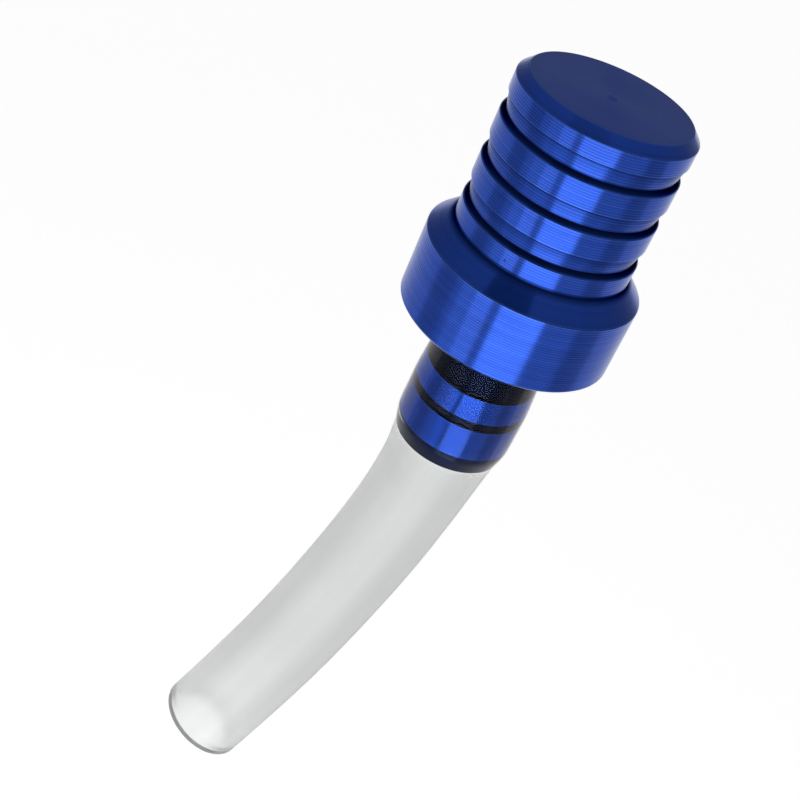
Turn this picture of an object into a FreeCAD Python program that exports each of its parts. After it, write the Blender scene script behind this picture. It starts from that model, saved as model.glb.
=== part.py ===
import FreeCAD, Part

import math
import os

import Sketcher

# Fuel-tank breather valve: a turned head with grip grooves and a skirt, screwed
# onto a barbed stem that holds a sprung ball valve, and a short clear hose pushed
# over the barb.
#
# Frame: the origin is the middle of the hose's open end, which plugs onto the
# nipple of a tank cap. +Z is up along the head's axis. All sizes are millimetres.

doc = FreeCAD.newDocument("breather_valve")

# ---------------------------------------------------------------- dimensions
# Every driving size is a cell of one sheet. Heights are above the origin.
SIZES = {
    # where the head's axis stands
    "axis_x": 9.2,
    "axis_y": 4.1,
    # head, outside
    "top_z": 68.4,
    "head_rad": 6.88,
    "edge_chamfer": 0.72,
    "groove_gap": 2.06,
    "groove_high": 1.64,
    "groove_step": 0.1,
    "groove_deep": 0.36,
    "groove_pitch": 3.45,
    "groove_count": 3,
    "cutter_clear": 1,
    "flare_z": 56.26,
    "skirt_rad": 8.45,
    "skirt_z": 48.87,
    "skirt_edge": 0.25,
    "pip_rad": 0.45,
    "pip_high": 0.06,
    # head, inside
    "thread_rad": 6.7,
    "thread_top_z": 53.9,
    "chamber_rad": 5.4,
    "chamber_top_z": 64.0,
    # stem
    "play": 0.02,
    "flange_z": 49.4,
    "gland_deep": 0.8,
    "gland_in_rad": 5.65,
    "gland_out_rad": 6.45,
    "tower_rad": 3.5,
    "tower_top_z": 60.5,
    "neck_rad": 3.35,
    "shoulder_z": 44.2,
    "shoulder_rad": 3.85,
    "barb_rad": 4.05,
    "barb_groove_z": 42.2,
    "barb_groove_high": 0.75,
    "barb_groove_rad": 3.65,
    "barb_edge_z": 38.7,
    "nose_z": 37.1,
    "nose_rad": 3.4,
    "duct_rad": 1.6,
    "duct_top_z": 52.0,
    "cage_rad": 2.2,
    "pocket_z": 58.0,
    "pocket_rad": 2.9,
    "air_hole_rad": 0.65,
    "air_hole_at": 4.75,
    "air_hole_count": 4,
    # valve seat
    "orifice_rad": 1.5,
    "seat_gland_rad": 2.5,
    "seat_gland_z": 58.8,
    "slot_wide": 0.8,
    "slot_deep": 0.7,
    # rubber rings
    "seat_ring_rad": 2.08,
    "seat_ring_thick": 0.4,
    "flange_ring_rad": 6.05,
    "flange_ring_thick": 0.4,
    # ball and spring
    "ball_rad": 2.0,
    "ball_z": 57.15,
    "wire_rad": 0.15,
    "coil_rad": 1.5,
    "coil_gap": 0.05,
    "coil_turns": 5,
    "coil_closed_rise": 0.36,
    # foam filter
    "filter_in_rad": 3.6,
    "filter_out_rad": 5.3,
    "filter_low_z": 54.2,
    "filter_top_z": 60.0,
    # hose
    "hose_rad": 4.0,
    "hose_bore_rad": 3.0,
    "hose_top_z": 49.0,
    "hose_over_neck": 3.5,
    "hose_over_barb": 4.0,
    "hose_wall": 0.8,
    "hose_lip": 0.05,
    "hose_bite": 0.05,
    "hose_grip": 0.8,
    "hose_relax_z": 37.0,
    "hose_relax_rad": 4.45,
    "hose_relax_bore": 3.45,
}

sheet = doc.addObject("Spreadsheet::Sheet", "Sizes")
for row, (alias, size) in enumerate(SIZES.items(), start=1):
    sheet.set(f"A{row}", alias)
    sheet.set(f"B{row}", str(size))
    sheet.setAlias(f"B{row}", alias)
doc.recompute()


def cell(expression):
    """The sheet's own name for each size in an expression."""
    words = expression.replace("(", " ( ").replace(")", " ) ").split()
    return " ".join(f"Sizes.{word}" if word in SIZES else word for word in words)


def bind(thing, prop, expression):
    thing.setExpression(prop, cell(expression))


# ------------------------------------------------------------------- helpers
def new_body(label):
    """A body whose own Z axis is the head's axis."""
    body = doc.addObject("PartDesign::Body", label + "_body")
    body.Label = label
    bind(body, "Placement.Base.x", "axis_x")
    bind(body, "Placement.Base.y", "axis_y")
    return body


def origin_plane(body, role):
    return next(p for p in body.Origin.OriginFeatures if p.Role == role)


def new_sketch(body, name, role):
    sketch = body.newObject("Sketcher::SketchObject", name)
    sketch.AttachmentSupport = [(origin_plane(body, role), "")]
    sketch.MapMode = "FlatFace"
    return sketch


def turned_outline(body, name, corners):
    """A closed outline in the XZ plane; each corner is (radius, height) as sheet expressions."""
    sketch = new_sketch(body, name, "XZ_Plane")
    values = [(number(rad), number(high)) for rad, high in corners]
    count = len(corners)
    for i, (rad, high) in enumerate(values):
        to_rad, to_high = values[(i + 1) % count]
        start = FreeCAD.Vector(rad, high, 0)
        end = FreeCAD.Vector(to_rad, to_high, 0)
        sketch.addGeometry(Part.LineSegment(start, end), False)
    for i in range(count):
        sketch.addConstraint(Sketcher.Constraint("Coincident", i, 2, (i + 1) % count, 1))
    for i, (rad, high) in enumerate(corners):
        if rad == "0":
            sketch.addConstraint(Sketcher.Constraint("PointOnObject", i, 1, -2))
        else:
            at = sketch.addConstraint(Sketcher.Constraint("DistanceX", -1, 1, i, 1, values[i][0]))
            bind(sketch, f"Constraints[{at}]", rad)
        at = sketch.addConstraint(Sketcher.Constraint("DistanceY", -1, 1, i, 1, values[i][1]))
        bind(sketch, f"Constraints[{at}]", high)
    return sketch


def number(expression):
    """What a sheet expression comes to, for a sketch's first shape."""
    total = 0.0
    sign = 1.0
    for word in expression.split():
        if word in "+-":
            sign = 1.0 if word == "+" else -1.0
        else:
            total += sign * (SIZES[word] if word in SIZES else float(word))
    return total


def turn(body, name, corners, feature="PartDesign::Revolution"):
    """Turn an outline about the body's Z axis, to add it or, as a Groove, to cut it away."""
    sketch = turned_outline(body, name + "_outline", corners)
    made = body.newObject(feature, name)
    made.Profile = sketch
    made.ReferenceAxis = (sketch, ["V_Axis"])
    made.Angle = 360.0
    doc.recompute()
    return made


def cut_is_real(made, volume_before):
    """Stop if a cutting feature pointed away from the metal."""
    if made.Shape.Volume >= volume_before:
        raise ValueError(f"{made.Name} cuts nothing")


# ---------------------------------------------------------------------- head
head = new_body("vent_head")
turn(head, "head_blank", [
    ("0", "chamber_top_z"),
    ("chamber_rad", "chamber_top_z"),
    ("chamber_rad", "thread_top_z"),
    ("thread_rad", "thread_top_z"),
    ("thread_rad", "skirt_z"),
    ("skirt_rad - skirt_edge", "skirt_z"),
    ("skirt_rad", "skirt_z + skirt_edge"),
    ("skirt_rad", "flare_z + head_rad - skirt_rad"),
    ("head_rad", "flare_z"),
    ("head_rad", "top_z - edge_chamfer"),
    ("head_rad - edge_chamfer", "top_z"),
    ("pip_rad", "top_z"),
    ("pip_rad - pip_high", "top_z + pip_high"),
    ("0", "top_z + pip_high"),
])

# One sawtooth grip groove: a small step in, a long taper further in, then a 45 degree
# step back out.
before = head.Shape.Volume
grip = turn(head, "grip_groove", [
    ("head_rad", "top_z - groove_gap"),
    ("head_rad - groove_step", "top_z - groove_gap - groove_step"),
    ("head_rad - groove_deep", "top_z - groove_gap - groove_high + groove_deep"),
    ("head_rad", "top_z - groove_gap - groove_high"),
    ("head_rad + cutter_clear", "top_z - groove_gap - groove_high"),
    ("head_rad + cutter_clear", "top_z - groove_gap"),
], "PartDesign::Groove")
cut_is_real(grip, before)
grips = head.newObject("PartDesign::LinearPattern", "grip_grooves")
grips.Originals = [grip]
grips.Direction = (origin_plane(head, "Z_Axis"), [""])
grips.Reversed = True
grips.Mode = "Spacing"
bind(grips, "Offset", "groove_pitch")
bind(grips, "Occurrences", "groove_count")
head.Tip = grips
doc.recompute()

# ---------------------------------------------------------------------- stem
stem = new_body("barb_stem")
turn(stem, "stem_blank", [
    ("duct_rad", "nose_z"),
    ("nose_rad", "nose_z"),
    ("barb_rad", "barb_edge_z"),
    ("barb_rad", "barb_groove_z - barb_groove_high"),
    ("barb_groove_rad", "barb_groove_z - barb_groove_high"),
    ("barb_groove_rad", "barb_groove_z"),
    ("barb_rad", "barb_groove_z"),
    ("shoulder_rad", "shoulder_z"),
    ("neck_rad", "shoulder_z"),
    ("neck_rad", "flange_z"),
    ("thread_rad - play", "flange_z"),
    ("thread_rad - play", "thread_top_z - play"),
    ("gland_out_rad", "thread_top_z - play"),
    ("gland_out_rad", "thread_top_z - play - gland_deep"),
    ("gland_in_rad", "thread_top_z - play - gland_deep"),
    ("gland_in_rad", "thread_top_z - play"),
    ("tower_rad", "thread_top_z - play"),
    ("tower_rad", "tower_top_z"),
    ("pocket_rad", "tower_top_z"),
    ("pocket_rad", "pocket_z"),
    ("cage_rad", "pocket_z"),
    ("cage_rad", "duct_top_z"),
    ("duct_rad", "duct_top_z"),
])

# Air holes through the flange, clear of the hose below and of the valve tube above.
before = stem.Shape.Volume
hole_sketch = new_sketch(stem, "air_hole_outline", "XY_Plane")
hole_sketch.addGeometry(
    Part.Circle(
        FreeCAD.Vector(SIZES["air_hole_at"], 0, 0), FreeCAD.Vector(0, 0, 1), SIZES["air_hole_rad"]
    ),
    False,
)
hole_sketch.addConstraint(Sketcher.Constraint("PointOnObject", 0, 3, -1))
at = hole_sketch.addConstraint(
    Sketcher.Constraint("DistanceX", -1, 1, 0, 3, SIZES["air_hole_at"])
)
bind(hole_sketch, f"Constraints[{at}]", "air_hole_at")
at = hole_sketch.addConstraint(Sketcher.Constraint("Radius", 0, SIZES["air_hole_rad"]))
bind(hole_sketch, f"Constraints[{at}]", "air_hole_rad")
air_hole = stem.newObject("PartDesign::Pocket", "air_hole")
air_hole.Profile = hole_sketch
air_hole.Type = "ThroughAll"
air_hole.Midplane = True
doc.recompute()
cut_is_real(air_hole, before)
air_holes = stem.newObject("PartDesign::PolarPattern", "air_holes")
air_holes.Originals = [air_hole]
air_holes.Axis = (origin_plane(stem, "Z_Axis"), [""])
air_holes.Angle = 360.0
bind(air_holes, "Occurrences", "air_hole_count")
stem.Tip = air_holes
doc.recompute()

# ---------------------------------------------------------------- valve seat
seat = new_body("valve_seat")
turn(seat, "seat_blank", [
    ("orifice_rad", "tower_top_z"),
    ("pocket_rad", "tower_top_z"),
    ("pocket_rad", "pocket_z"),
    ("seat_gland_rad", "pocket_z"),
    ("seat_gland_rad", "seat_gland_z"),
    ("orifice_rad", "seat_gland_z"),
])

# Screwdriver slot across the top, for the tool that presses and seats the insert.
before = seat.Shape.Volume
slot_sketch = new_sketch(seat, "slot_outline", "XZ_Plane")
slot_half = SIZES["slot_wide"] / 2
slot_low = SIZES["tower_top_z"] - SIZES["slot_deep"]
slot_high = SIZES["tower_top_z"] + SIZES["slot_deep"]
slot_corners = [
    (-slot_half, slot_low, "- slot_wide / 2", "tower_top_z - slot_deep"),
    (slot_half, slot_low, "slot_wide / 2", "tower_top_z - slot_deep"),
    (slot_half, slot_high, "slot_wide / 2", "tower_top_z + slot_deep"),
    (-slot_half, slot_high, "- slot_wide / 2", "tower_top_z + slot_deep"),
]
for i, corner in enumerate(slot_corners):
    following = slot_corners[(i + 1) % 4]
    slot_sketch.addGeometry(
        Part.LineSegment(
            FreeCAD.Vector(corner[0], corner[1], 0),
            FreeCAD.Vector(following[0], following[1], 0),
        ),
        False,
    )
for i in range(4):
    slot_sketch.addConstraint(Sketcher.Constraint("Coincident", i, 2, (i + 1) % 4, 1))
for i, (across, high, across_is, high_is) in enumerate(slot_corners):
    at = slot_sketch.addConstraint(Sketcher.Constraint("DistanceX", -1, 1, i, 1, across))
    bind(slot_sketch, f"Constraints[{at}]", across_is)
    at = slot_sketch.addConstraint(Sketcher.Constraint("DistanceY", -1, 1, i, 1, high))
    bind(slot_sketch, f"Constraints[{at}]", high_is)
slot = seat.newObject("PartDesign::Pocket", "driver_slot")
slot.Profile = slot_sketch
slot.Type = "ThroughAll"
slot.Midplane = True
doc.recompute()
cut_is_real(slot, before)


# ----------------------------------------------------- rubber rings, ball
def place_on_axis(thing, high):
    bind(thing, "Placement.Base.x", "axis_x")
    bind(thing, "Placement.Base.y", "axis_y")
    bind(thing, "Placement.Base.z", high)


def rubber_ring(label, ring, high):
    """An O-ring; ring is the start of its two size names in the sheet."""
    torus = doc.addObject("Part::Torus", label)
    torus.Label = label
    bind(torus, "Radius1", ring + "_rad")
    bind(torus, "Radius2", ring + "_thick")
    place_on_axis(torus, high)
    return torus


seat_ring = rubber_ring("seat_o_ring", "seat_ring", "pocket_z + seat_ring_thick")
flange_ring = rubber_ring("flange_o_ring", "flange_ring", "thread_top_z - flange_ring_thick")

ball = doc.addObject("Part::Sphere", "check_ball")
ball.Label = "check_ball"
bind(ball, "Radius", "ball_rad")
place_on_axis(ball, "ball_z")

# ------------------------------------------------------------------- filter
foam = new_body("filter_sleeve")
turn(foam, "foam_ring", [
    ("filter_in_rad", "filter_low_z"),
    ("filter_out_rad", "filter_low_z"),
    ("filter_out_rad", "filter_top_z"),
    ("filter_in_rad", "filter_top_z"),
])

# ------------------------------------------------------------------- spring
# The spring stands on the step of the duct and reaches up to the ball's underside.
# Its first and last turns are closed up, so that both its ends are level.
COIL_STEPS = 16  # points in each turn
coil_reach = SIZES["ball_rad"] + SIZES["wire_rad"] + SIZES["coil_gap"]
coil_high = SIZES["ball_z"] - math.sqrt(coil_reach**2 - SIZES["coil_rad"] ** 2)
coil_rise = coil_high - SIZES["duct_top_z"] - SIZES["wire_rad"]
closed_rise = SIZES["coil_closed_rise"]
open_turns = SIZES["coil_turns"] - 2
open_rise = (coil_rise - 2 * closed_rise) / open_turns


def coil_height(turns):
    """How far the wire has risen after that many turns."""
    opened = min(max(turns - 1, 0), open_turns)
    return closed_rise * (turns - opened) + open_rise * opened


coil_points = []
for i in range(SIZES["coil_turns"] * COIL_STEPS + 1):
    turns = i / COIL_STEPS
    angle = 2 * math.pi * turns
    across = SIZES["coil_rad"] * math.cos(angle)
    along = SIZES["coil_rad"] * math.sin(angle)
    coil_points.append(FreeCAD.Vector(across, along, coil_height(turns)))

coil = doc.addObject("Part::Feature", "spring_line")
coil.Shape = Part.makePolygon(coil_points)
wire_end = doc.addObject("Part::Circle", "wire_section")
bind(wire_end, "Radius", "wire_rad")
wire_end.Placement = FreeCAD.Placement(
    coil_points[0], FreeCAD.Rotation(FreeCAD.Vector(0, 0, 1), coil_points[1] - coil_points[0])
)
doc.recompute()
spring = doc.addObject("Part::Sweep", "ball_spring")
spring.Label = "ball_spring"
spring.Sections = [wire_end]
spring.Spine = (coil, [f"Edge{i + 1}" for i in range(len(coil.Shape.Edges))])
spring.Solid = True
spring.Transition = "Right corner"
place_on_axis(spring, "duct_top_z + wire_rad")
doc.recompute()

# --------------------------------------------------------------------- hose
# The hose's middle line, from its end under the head to its open end. It runs
# straight over the barb and then in one gentle bend.
ROUTE = [
    (9.2, 4.1, 49.0),
    (9.2, 4.1, 38.6),
    (8.25, 4.1, 28.2),
    (6.0, 3.3, 18.0),
    (3.2, 1.4, 8.7),
    (0.0, 0.0, 0.0),
]
ARC_SHARE = 0.45  # how much of the shorter run an arc takes


def route_line(points):
    """Straight runs joined by tangent arcs, with the arcs' radii."""
    spots = [FreeCAD.Vector(*p) for p in points]
    edges = []
    radii = []
    start = spots[0]
    for before, corner, after in zip(spots, spots[1:], spots[2:]):
        back = before - corner
        on = after - corner
        half_turn = (math.pi - back.getAngle(on)) / 2
        reach = ARC_SHARE * min(back.Length, on.Length)
        radius = reach / math.tan(half_turn)
        arc_start = corner + back.normalize() * reach
        arc_end = corner + on.normalize() * reach
        inward = (back + on).normalize()
        middle = corner + inward * (radius / math.cos(half_turn) - radius)
        edges.append(Part.LineSegment(start, arc_start).toShape())
        edges.append(Part.Arc(arc_start, middle, arc_end).toShape())
        radii.append(radius)
        start = arc_end
    edges.append(Part.LineSegment(start, spots[-1]).toShape())
    return Part.Wire(edges), radii


line, radii = route_line(ROUTE)
print("hose length", round(line.Length, 2), "bend radii", [round(r, 1) for r in radii])
route = doc.addObject("Part::Feature", "hose_line")
route.Shape = line
route_edges = [f"Edge{i + 1}" for i in range(len(line.Edges))]


def tube(name, size):
    """A round bar of one size swept along the hose's line."""
    ring = doc.addObject("Part::Circle", name + "_ring")
    bind(ring, "Radius", size)
    ring.Placement = FreeCAD.Placement(FreeCAD.Vector(*ROUTE[0]), FreeCAD.Rotation())
    doc.recompute()
    bar = doc.addObject("Part::Sweep", name)
    bar.Sections = [ring]
    bar.Spine = (route, route_edges)
    bar.Solid = True
    bar.Frenet = False
    doc.recompute()
    expected = math.pi * SIZES[size] ** 2 * line.Length
    print(name, "volume", round(bar.Shape.Volume, 1), "section times length", round(expected, 1))
    return bar


hose_bar = tube("hose_bar", "hose_rad")
hose_bore = tube("hose_bore", "hose_bore_rad")

# Over the neck and the barb the hose is stretched, so it is wider there.
stretched = new_body("hose_stretched")
turn(stretched, "stretched_wall", [
    ("0", "hose_top_z"),
    ("hose_over_neck + hose_wall + hose_lip", "hose_top_z"),
    ("shoulder_rad + hose_wall", "shoulder_z"),
    ("hose_over_barb + hose_wall", "barb_groove_z"),
    ("hose_over_barb + hose_wall", "barb_edge_z + hose_grip"),
    ("hose_relax_rad", "hose_relax_z"),
    ("0", "hose_relax_z"),
])
stretched_bore = new_body("hose_stretched_bore")
turn(stretched_bore, "stretched_hollow", [
    ("0", "hose_top_z"),
    ("hose_over_neck", "hose_top_z"),
    ("shoulder_rad - hose_bite", "shoulder_z"),
    ("hose_over_barb", "barb_groove_z"),
    ("hose_over_barb", "barb_edge_z"),
    ("hose_relax_bore", "nose_z"),
    ("0", "nose_z"),
])
hose_outside = doc.addObject("Part::Fuse", "hose_outside")
hose_outside.Base = hose_bar
hose_outside.Tool = stretched
hose_inside = doc.addObject("Part::Fuse", "hose_inside")
hose_inside.Base = hose_bore
hose_inside.Tool = stretched_bore
hose = doc.addObject("Part::Cut", "vent_hose")
hose.Label = "vent_hose"
hose.Base = hose_outside
hose.Tool = hose_inside
doc.recompute()

# -------------------------------------------------------------------- write
PIECES = [head, stem, seat, seat_ring, flange_ring, ball, foam, spring, hose]

for thing in doc.Objects:
    if "Invalid" in thing.State or "Error" in thing.State:
        raise ValueError(f"{thing.Name} failed: {thing.State}")
for piece in PIECES:
    shape = piece.Shape
    if shape.isNull() or not shape.isValid() or len(shape.Solids) != 1:
        raise ValueError(f"{piece.Label} isn't one valid solid")

os.makedirs("parts", exist_ok=True)
for piece in PIECES:
    piece.Shape.exportStep(f"parts/{piece.Label}.step")
    box = piece.Shape.BoundBox
    print(f"{piece.Label:14s} {piece.Shape.Volume:8.1f} mm3  z {box.ZMin:.2f} to {box.ZMax:.2f}")
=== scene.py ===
# %% [markdown]
# # A fuel-tank breather valve
#
# The valve sits on the breather nipple of a fuel-tank cap. Air may come in under the
# skirt of the blue head, past a small sprung ball, and down through the barbed stem
# and the hose into the tank, and fuel can't come back out. This lesson dresses the
# valve up: it takes the CAD model's places and sizes as they are, and gives each
# piece its final mesh and finish.
#
# The CAD model is loaded first, because everything below is placed from it.

import math

import bpy
import numpy as np
from mathutils import Matrix, Vector


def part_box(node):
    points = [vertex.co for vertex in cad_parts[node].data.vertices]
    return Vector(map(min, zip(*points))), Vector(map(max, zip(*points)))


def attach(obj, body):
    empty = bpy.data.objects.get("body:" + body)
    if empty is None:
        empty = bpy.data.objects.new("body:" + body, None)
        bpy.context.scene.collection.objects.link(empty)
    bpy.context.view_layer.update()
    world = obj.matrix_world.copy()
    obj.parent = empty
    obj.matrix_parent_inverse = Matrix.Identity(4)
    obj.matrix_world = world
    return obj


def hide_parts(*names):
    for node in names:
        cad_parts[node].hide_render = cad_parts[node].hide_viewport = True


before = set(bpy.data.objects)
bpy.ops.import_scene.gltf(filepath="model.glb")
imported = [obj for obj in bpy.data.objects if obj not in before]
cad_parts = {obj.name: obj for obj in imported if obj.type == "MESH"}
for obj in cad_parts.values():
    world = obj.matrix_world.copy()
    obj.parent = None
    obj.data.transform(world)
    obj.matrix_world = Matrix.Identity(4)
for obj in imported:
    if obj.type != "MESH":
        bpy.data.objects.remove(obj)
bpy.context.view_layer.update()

MM = 0.001

head_low, head_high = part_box("vent_head")
AXIS = Vector(((head_low.x + head_high.x) / 2, (head_low.y + head_high.y) / 2, 0))
print("head's axis stands at", [round(v / MM, 2) for v in AXIS], "mm")

# %% [markdown]
# ## The camera
#
# A camera can be aimed by a constraint, by its angles or by a matrix. Three angles
# are the plainest to read: how far it is turned about the upright, how far it looks
# down, and how far it is rolled about its own line of sight. The long lens keeps the
# head's circles from looking stretched.

# %% Camera
CAMERA_PLACE = Vector((9.2, -91.545, 101.658)) * MM
CAMERA_TURN = math.radians(2.88)
CAMERA_DOWN = math.radians(33.44)
CAMERA_ROLL = math.radians(24.2)

camera_data = bpy.data.cameras.new("camera")
camera_data.lens = 64.5
camera_data.clip_start = 0.001
camera = bpy.data.objects.new("camera", camera_data)
camera.matrix_world = (
    Matrix.Translation(CAMERA_PLACE)
    @ Matrix.Rotation(CAMERA_TURN, 4, "Z")
    @ Matrix.Rotation(math.pi / 2 - CAMERA_DOWN, 4, "X")
    @ Matrix.Rotation(CAMERA_ROLL, 4, "Z")
)
bpy.context.collection.objects.link(camera)
bpy.context.scene.camera = camera
for name, column in (("right", 0), ("up", 1), ("back", 2)):
    print("camera", name, [round(v, 4) for v in camera.matrix_world.col[column][:3]])

# %% [markdown]
# ## The hose's middle line
#
# The hose is cut from a coil of tube, so it keeps a gentle bend. Its middle line is
# a NURBS curve: a handful of listed control points, from the end under the head
# down to the open end, and a smooth curve that they pull along. The order is set
# after the points are there, because before that Blender keeps it too low.

# %% Route
HOSE_ROUTE = [
    (9.2, 4.1, 49.0),
    (9.25, 4.1, 37.6),
    (8.25, 4.1, 28.2),
    (6.0, 3.3, 18.0),
    (3.2, 1.4, 8.7),
    (0.0, 0.0, 0.0),
]
LINE_STEPS = 24  # points on each stretch of the smooth curve

route = bpy.data.curves.new("hose_route", "CURVE")
route.dimensions = "3D"
route.resolution_u = LINE_STEPS
spline = route.splines.new("NURBS")
spline.points.add(len(HOSE_ROUTE) - 1)
for point, place in zip(spline.points, HOSE_ROUTE):
    point.co = (*(Vector(place) * MM), 1)
spline.order_u = 3
spline.use_endpoint_u = True
route_object = bpy.data.objects.new("hose_route", route)
bpy.context.collection.objects.link(route_object)


def plain_mesh(thing):
    """The mesh that an object comes to with its modifiers, as new data."""
    depsgraph = bpy.context.evaluated_depsgraph_get()
    return bpy.data.meshes.new_from_object(thing.evaluated_get(depsgraph), depsgraph=depsgraph)


line_mesh = plain_mesh(route_object)
line_points = [v.co.copy() for v in line_mesh.vertices]
hose_length = sum((b - a).length for a, b in zip(line_points, line_points[1:]))
bpy.data.objects.remove(route_object)
print("hose line", len(line_points), "points,", round(hose_length / MM, 2), "mm")

# %% [markdown]
# ## A lathe
#
# The head, the stem, the seat and even the hose are round about one line, so one
# tool makes them all: an outline, turned about that line. It could be made with
# spin or the Screw modifier. Geometry Nodes are chosen because the same tree can
# first break every sharp corner with a small arc, and because its sizes are inputs.
#
# An outline is worked in millimetres and the finished mesh is in metres. The turning
# circle has a radius of its own, and the outline is shifted by as much, which keeps
# the numbers small and the mesh exact.

# %% Helpers for node trees
LATHE_REACH = 10.0  # millimetres, the radius of the turning circle


def add_node(tree, kind, **settings):
    """A node with its properties, and its inputs by name, set."""
    node = tree.nodes.new(kind)
    for name, value in settings.items():
        if name in node.bl_rna.properties:
            setattr(node, name, value)
        else:
            node.inputs[name.replace("_", " ")].default_value = value
    return node


def new_tree(name, kind, inputs, outputs):
    """A node group with its sockets, and the nodes that stand for them."""
    tree = bpy.data.node_groups.new(name, kind)
    for label, socket, value in inputs:
        made = tree.interface.new_socket(label, in_out="INPUT", socket_type=socket)
        if value is not None:
            made.default_value = value
    for label, socket in outputs:
        tree.interface.new_socket(label, in_out="OUTPUT", socket_type=socket)
    return tree, tree.nodes.new("NodeGroupInput"), tree.nodes.new("NodeGroupOutput")


def finish_tree(tree, geometry, entry, leave):
    """End a geometry tree: real geometry, in the material that the tree is given."""
    real = add_node(tree, "GeometryNodeRealizeInstances")
    painted = add_node(tree, "GeometryNodeSetMaterial")
    tree.links.new(geometry, real.inputs["Geometry"])
    tree.links.new(real.outputs["Geometry"], painted.inputs["Geometry"])
    tree.links.new(entry.outputs["Material"], painted.inputs["Material"])
    tree.links.new(painted.outputs["Geometry"], leave.inputs["Piece"])
    print(tree.name, "has", len(tree.nodes), "nodes")


GEOMETRY = "NodeSocketGeometry"

# %% [markdown]
# The tree itself: outline to curve, corners broken to the depth that each corner
# carries, then swept round the turning circle and moved onto the axis. Edges sharper
# than the given angle stay crisp, and the rest are shaded smooth.

# %% The lathe tree
CRISP_ANGLE = math.radians(38)
WELD = 1e-7  # metres, to close the loop where the turning ends

lathe, entry, leave = new_tree(
    "turn_outline",
    "GeometryNodeTree",
    [
        ("Outline", GEOMETRY, None),
        ("Segments", "NodeSocketInt", 192),
        ("Corner Steps", "NodeSocketInt", 4),
        ("Crisp Angle", "NodeSocketFloat", CRISP_ANGLE),
        ("Axis", "NodeSocketVector", None),
        ("Material", "NodeSocketMaterial", None),
    ],
    [("Piece", GEOMETRY)],
)
as_curve = add_node(lathe, "GeometryNodeMeshToCurve")
corner = add_node(lathe, "GeometryNodeInputNamedAttribute", data_type="FLOAT")
corner.inputs["Name"].default_value = "edge_break"
broken = add_node(lathe, "GeometryNodeFilletCurve", mode="POLY")
circle = add_node(lathe, "GeometryNodeCurvePrimitiveCircle", mode="RADIUS", Radius=LATHE_REACH)
upright = add_node(lathe, "GeometryNodeSetCurveNormal", mode="Z_UP")
swept = add_node(lathe, "GeometryNodeCurveToMesh")
in_place = add_node(lathe, "GeometryNodeTransform", Scale=(MM, MM, MM))
closed = add_node(lathe, "GeometryNodeMergeByDistance", Distance=WELD)
edge_angle = add_node(lathe, "GeometryNodeInputMeshEdgeAngle")
is_soft = add_node(lathe, "FunctionNodeCompare", operation="LESS_THAN")
smooth_faces = add_node(lathe, "GeometryNodeSetShadeSmooth", domain="FACE")
smooth_edges = add_node(lathe, "GeometryNodeSetShadeSmooth", domain="EDGE")

link = lathe.links.new
link(entry.outputs["Outline"], as_curve.inputs["Mesh"])
link(as_curve.outputs["Curve"], broken.inputs["Curve"])
link(corner.outputs["Attribute"], broken.inputs["Radius"])
link(entry.outputs["Corner Steps"], broken.inputs["Count"])
link(entry.outputs["Segments"], circle.inputs["Resolution"])
link(circle.outputs["Curve"], upright.inputs["Curve"])
link(upright.outputs["Curve"], swept.inputs["Curve"])
link(broken.outputs["Curve"], swept.inputs["Profile Curve"])
link(swept.outputs["Mesh"], in_place.inputs["Geometry"])
link(entry.outputs["Axis"], in_place.inputs["Translation"])
link(in_place.outputs["Geometry"], closed.inputs["Geometry"])
link(edge_angle.outputs["Unsigned Angle"], is_soft.inputs[0])
link(entry.outputs["Crisp Angle"], is_soft.inputs[1])
link(closed.outputs["Geometry"], smooth_faces.inputs["Geometry"])
link(smooth_faces.outputs["Geometry"], smooth_edges.inputs["Geometry"])
link(is_soft.outputs["Result"], smooth_edges.inputs["Shade Smooth"])
finish_tree(lathe, smooth_edges.outputs["Geometry"], entry, leave)

# %% [markdown]
# An outline is a closed loop of corners: radius, height, edge break and, if given, painted
# shade. Two more points stand near the ends of each long run. They keep the shading of
# a broken edge from washing over the flat beside it, and they end the "edge" value,
# which a finish uses where handling wears a corner bright.

# %% Outlines
HOLD = 0.08  # millimetres from a broken corner to the point that holds its shading


def outline_points(corners):
    """The loop's points as (radius, height, edge break, edge, painted shade)."""
    points = []
    full = [(*corner, 0.0)[:4] for corner in corners]
    for start, end in zip(full, full[1:] + full[:1]):
        rad, high, cut, recess = start
        to_rad, to_high, to_cut, to_painted_shade_and_cloud = end
        points.append((rad, high, cut, 1.0 if cut and not recess else 0.0, recess))
        run = math.hypot(to_rad - rad, to_high - high)
        near = cut + HOLD
        far = run - to_cut - HOLD
        if far > near + HOLD:
            for at in (near / run, far / run):
                held = (rad + (to_rad - rad) * at, high + (to_high - high) * at)
                points.append((*held, 0.0, 0.0, recess + (to_painted_shade_and_cloud - recess) * at))
    return points


def outline_object(name, points):
    """The loop as a mesh of edges, wound so that the turned faces point outwards."""
    area = sum(a[0] * b[1] - b[0] * a[1] for a, b in zip(points, points[1:] + points[:1]))
    if area > 0:
        points = points[::-1]
    mesh = bpy.data.meshes.new(name)
    places = [(point[0] - LATHE_REACH, -point[1], 0) for point in points]
    count = len(points)
    mesh.from_pydata(places, [(i, (i + 1) % count) for i in range(count)], [])
    # The last value is painted shade on the metal pieces and cloudiness on the hose.
    for label, column in (("edge_break", 2), ("edge", 3), ("recess", 4)):
        values = mesh.attributes.new(label, "FLOAT", "POINT")
        values.data.foreach_set("value", [p[column] for p in points])
    thing = bpy.data.objects.new(name, mesh)
    bpy.context.collection.objects.link(thing)
    return thing


# %% [markdown]
# Trees are run one after the other on a piece, and the result is kept as a plain
# mesh: the modifiers are gone before the piece is fixed to the model. The volume
# tells if a mesh came out closed and the right way round.

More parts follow.
